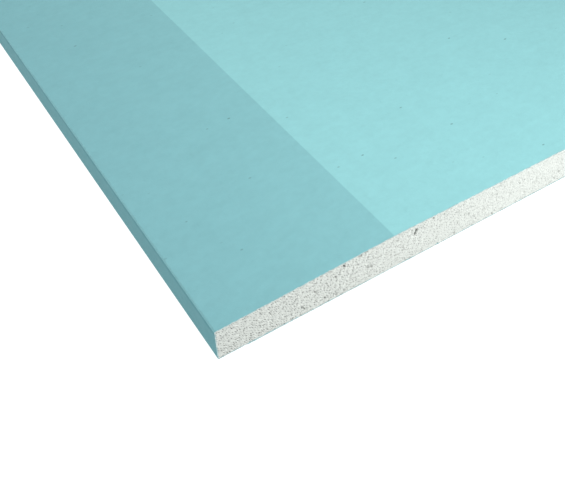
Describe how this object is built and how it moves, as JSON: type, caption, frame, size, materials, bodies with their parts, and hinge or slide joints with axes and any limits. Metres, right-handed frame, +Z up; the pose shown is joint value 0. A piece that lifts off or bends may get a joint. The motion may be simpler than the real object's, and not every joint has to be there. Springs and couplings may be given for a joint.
{
  "type": "drywall sheet",
  "caption": "Moisture-resistant drywall sheet: porous gypsum core between teal papers, with tapered, paper-wrapped long edges and bare cut ends, laid face up.",
  "frame": {"origin": "centre of the sheet's footprint, on the floor it lies on", "axes": "+X across the width from one wrapped long edge to the other, +Y along the length from one cut end to the other, +Z up through the thickness, out of the face"},
  "size_m": [1.2, 2.4, 0.0125],
  "materials": {
    "gypsum": "matte white set gypsum, porous on the cut ends",
    "face_paper": "matte light teal paper with faint fibre mottling, darker on the tapered margins",
    "back_paper": "matte light teal paper, a little rougher than the face"
  },
  "bodies": {
    "root": {"gypsum_core": "gypsum", "face_paper": "face_paper", "back_paper": "back_paper"}
  },
  "joints": []
}
